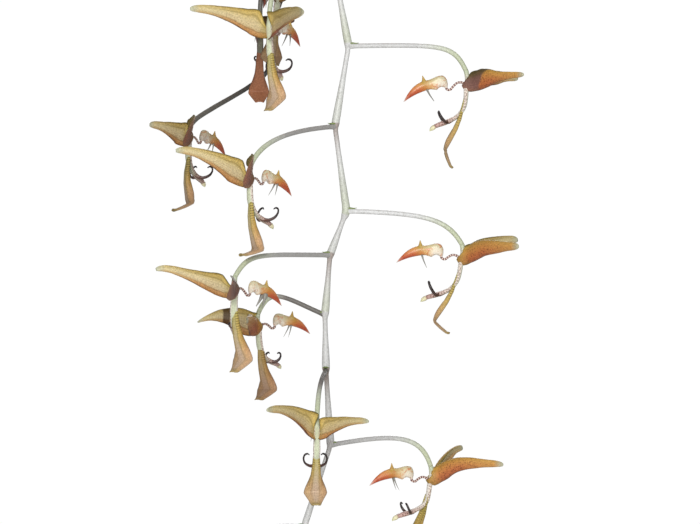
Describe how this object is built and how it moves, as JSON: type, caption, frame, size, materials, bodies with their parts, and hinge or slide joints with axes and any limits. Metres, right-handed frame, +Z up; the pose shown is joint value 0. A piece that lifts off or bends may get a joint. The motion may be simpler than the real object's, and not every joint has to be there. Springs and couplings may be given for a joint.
{
  "type": "hanging potted orchid",
  "caption": "Orchid in a hanging clay pot, with pleated leaves, ribbed pseudobulbs and a long hanging raceme of spotted ochre flowers on arched stalks.",
  "frame": {"origin": "the point inside the hook where it bears on its rail", "axes": "+Z up along the hanger, +X to the right of the raceme, -Y the front where the raceme hangs"},
  "size_m": [0.3693, 0.3129, 0.6353],
  "materials": {
    "clay": "plain fired clay, matt",
    "bark": "chipped fir bark with moss",
    "steel_wire": "galvanised wire",
    "pseudobulb": "smooth waxy green",
    "leaf": "pleated, satin green",
    "raceme_stem": "pale grey-green, satin",
    "sepal": "waxy ochre with fine red-brown spots",
    "lip": "waxy cream and orange-red with dark streaks"
  },
  "bodies": {
    "root": {"pot": "clay", "bark_mix": "bark", "hanger_wire_1": "steel_wire", "hanger_wire_2": "steel_wire", "hanger_wire_3": "steel_wire", "hanger_ferrule": "steel_wire", "hanger_hook": "steel_wire", "pseudobulb_1_old": "pseudobulb", "pseudobulb_2": "pseudobulb", "pseudobulb_3": "pseudobulb", "pseudobulb_4": "pseudobulb", "pseudobulb_5": "pseudobulb", "leaf_1": "leaf", "leaf_2": "leaf", "leaf_3": "leaf", "leaf_4": "leaf", "leaf_5": "leaf", "leaf_6": "leaf", "raceme_stem": "raceme_stem", "flower_01_sepals_column": "sepal", "flower_01_lip": "lip", "flower_02_sepals_column": "sepal", "flower_02_lip": "lip", "flower_03_sepals_column": "sepal", "flower_03_lip": "lip", "flower_04_sepals_column": "sepal", "flower_04_lip": "lip", "flower_05_sepals_column": "sepal", "flower_05_lip": "lip", "flower_06_sepals_column": "sepal", "flower_06_lip": "lip", "flower_07_sepals_column": "sepal", "flower_07_lip": "lip", "flower_08_sepals_column": "sepal", "flower_08_lip": "lip", "flower_09_sepals_column": "sepal", "flower_09_lip": "lip", "flower_10_sepals_column": "sepal", "flower_10_lip": "lip", "flower_11_sepals_column": "sepal", "flower_11_lip": "lip", "flower_12_sepals_column": "sepal", "flower_12_lip": "lip"}
  },
  "joints": []
}
